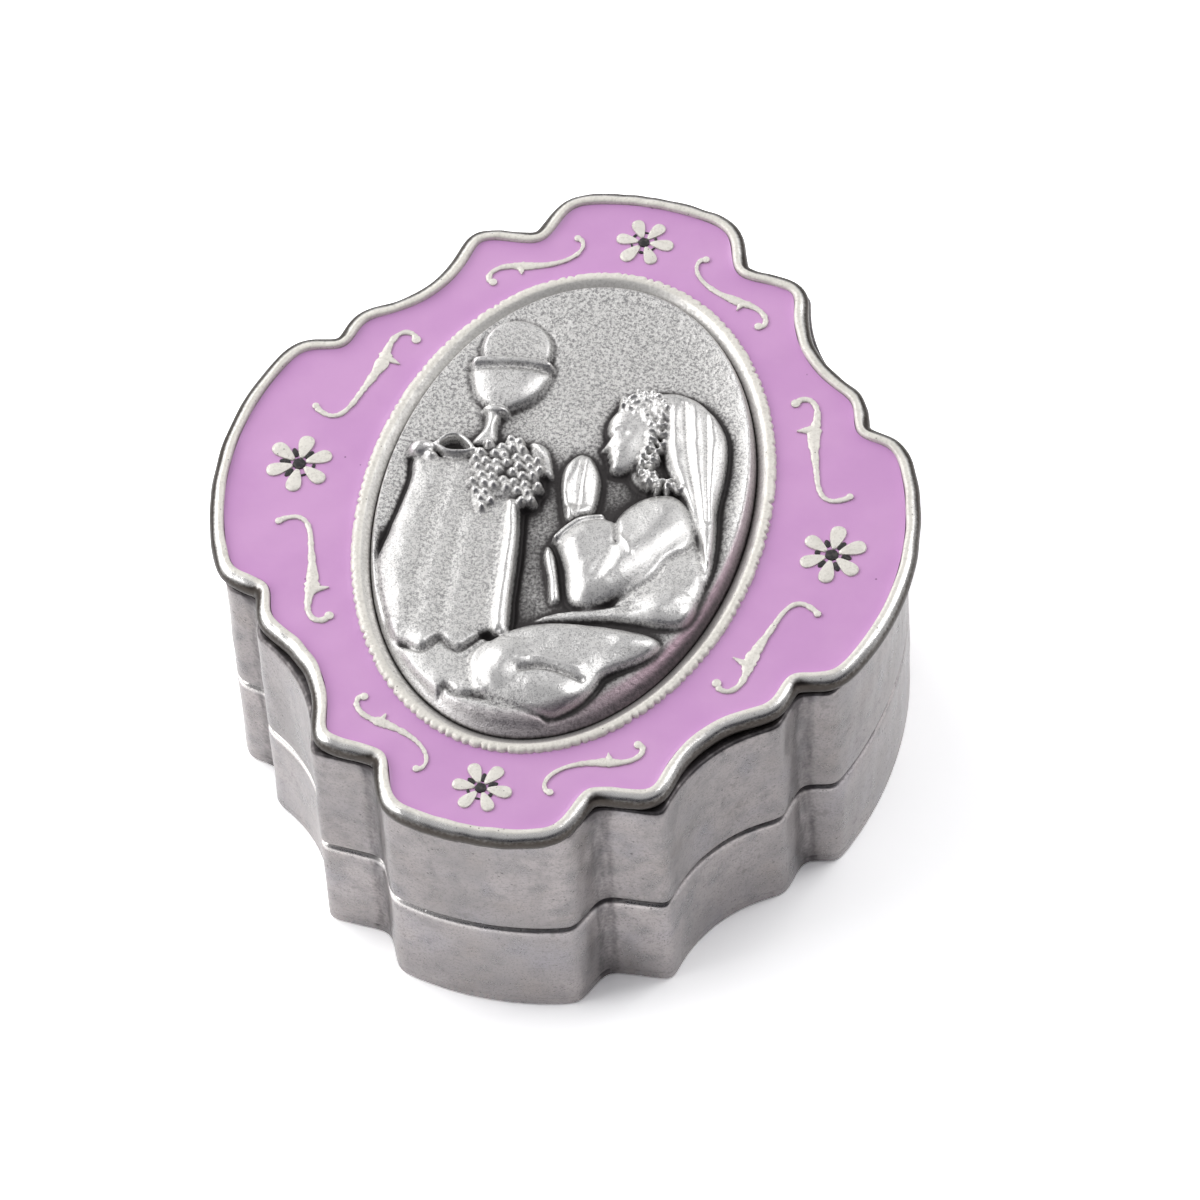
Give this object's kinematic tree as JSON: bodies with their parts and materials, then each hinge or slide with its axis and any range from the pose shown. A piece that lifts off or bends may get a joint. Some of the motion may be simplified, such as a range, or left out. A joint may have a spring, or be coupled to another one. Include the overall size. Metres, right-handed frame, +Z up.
{
  "type": "keepsake box",
  "caption": "Small silvered-metal keepsake box with a lobed outline and a hinged lid set with lilac enamel, flowers, scrolls and an oval relief medallion.",
  "frame": {"origin": "centre of the box's flat underside", "axes": "+Z up, +Y along the length towards the hinge at the back, +X across the width"},
  "size_m": [0.0528, 0.0602, 0.0256],
  "materials": {
    "silver_plate": "worn satin silver plate with fine scratches and pits",
    "polished_silver_plate": "bright, hand-polished silver plate",
    "oxidised_silver": "oxidised silver, dark in the recesses and polished on the high points",
    "lilac_enamel": "smooth, half-gloss lilac enamel",
    "black_enamel": "black enamel drops"
  },
  "bodies": {
    "base": {"base_floor": "silver_plate", "base_wall_band": "silver_plate", "base_collar": "silver_plate", "hinge_base_leaf": "silver_plate", "hinge_pin": "polished_silver_plate"},
    "lid": {"lid_wall_band": "silver_plate", "lid_top_plate": "polished_silver_plate", "enamel_field": "lilac_enamel", "flower_eyes": "black_enamel", "medallion_bezel": "polished_silver_plate", "medallion": "oxidised_silver", "hinge_lid_leaf": "silver_plate"}
  },
  "joints": [
    {"name": "lid_hinge", "type": "hinge", "parent": "base", "child": "lid", "pos_m": [0, 0.02935, 0.01], "axis": [-1, 0, 0], "range_deg": [0, 105]}
  ]
}
